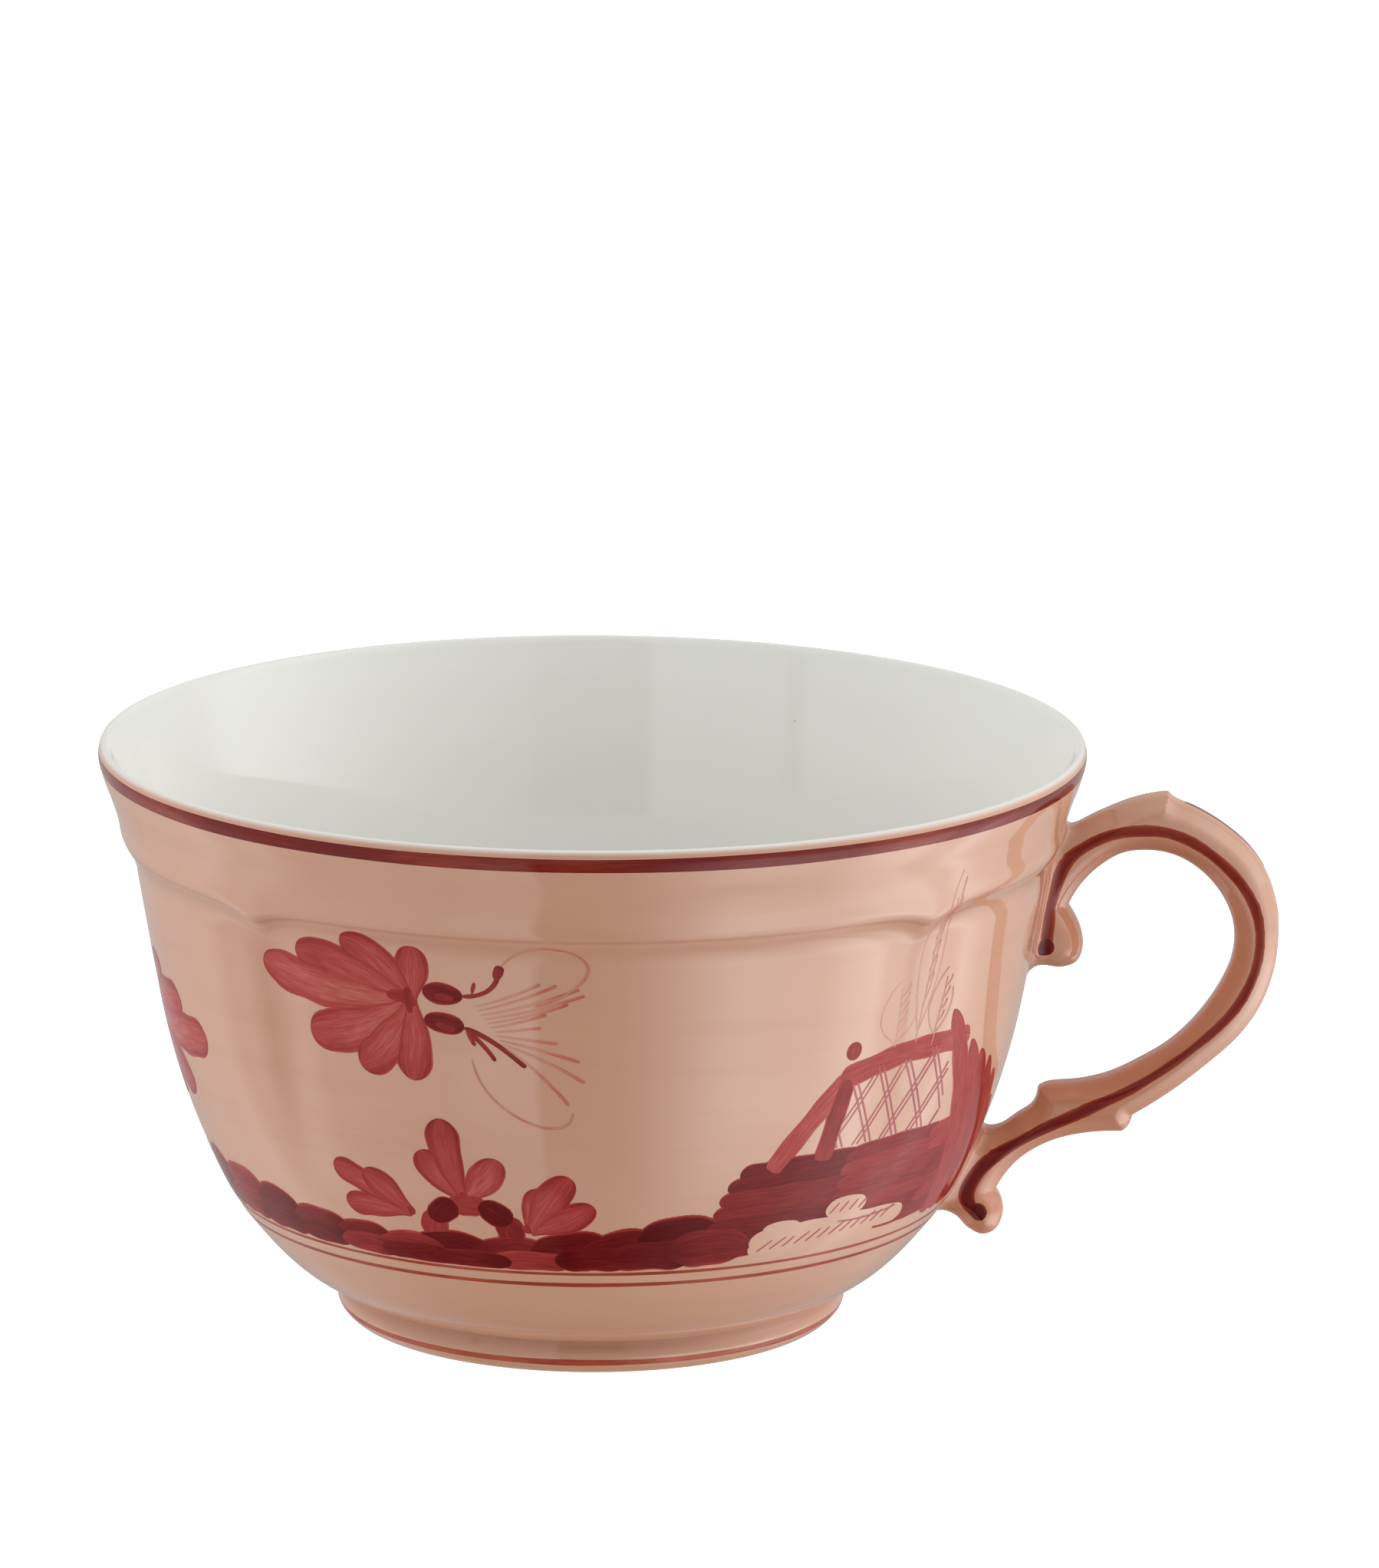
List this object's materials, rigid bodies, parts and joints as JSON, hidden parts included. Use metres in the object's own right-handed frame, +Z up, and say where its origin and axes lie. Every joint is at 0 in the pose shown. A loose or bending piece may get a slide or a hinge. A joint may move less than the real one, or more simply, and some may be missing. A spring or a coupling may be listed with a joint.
{
  "type": "teacup",
  "caption": "Glazed porcelain teacup with a lobed bowl under a plain ledged rim, a turned foot ring and a spurred scroll handle luted to one side.",
  "frame": {"origin": "middle of the outline seen from above, on the plane the foot ring stands on; the bowl's own axis is 9.6 mm towards -X", "axes": "+Z up out of the bowl, +X from the bowl towards the handle, -Y the side with the main painted spray"},
  "size_m": [0.1172, 0.098, 0.0586],
  "materials": {
    "body_glaze": "glossy salmon glaze outside, glossy white inside",
    "slip_glaze": "glossy salmon glaze, thinner over the luting slip",
    "white_glaze": "glossy white glaze",
    "enamel": "glossy crimson overglaze enamel, brushed"
  },
  "bodies": {
    "root": {"bowl": "body_glaze", "foot_ring": "body_glaze", "handle": "body_glaze", "upper_slip_joint": "slip_glaze", "lower_slip_joint": "slip_glaze"}
  },
  "joints": []
}
